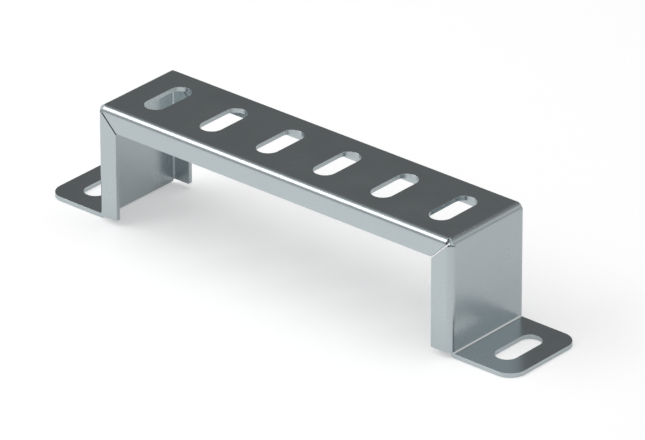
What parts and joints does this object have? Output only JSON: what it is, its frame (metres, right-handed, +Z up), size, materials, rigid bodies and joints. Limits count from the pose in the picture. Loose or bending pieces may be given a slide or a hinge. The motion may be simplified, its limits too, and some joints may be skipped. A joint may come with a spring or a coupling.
{
  "type": "cable tray standoff bracket",
  "caption": "Folded steel standoff bracket: a flanged bridge with a row of slots on two legs, and a slotted foot on each leg.",
  "frame": {"origin": "on the ground plane under the feet, midway between the two legs and on the middle of the width", "axes": "+X along the bridge, from one leg to the other, +Y across the bridge, +Z up, away from the surface that the feet are fixed to"},
  "size_m": [0.2052, 0.0382, 0.0433],
  "materials": {
    "zinc_plated_steel": "smooth zinc-plated sheet steel, light bluish grey, with a soft low-roughness reflection"
  },
  "bodies": {
    "root": {"bracket": "zinc_plated_steel"}
  },
  "joints": []
}
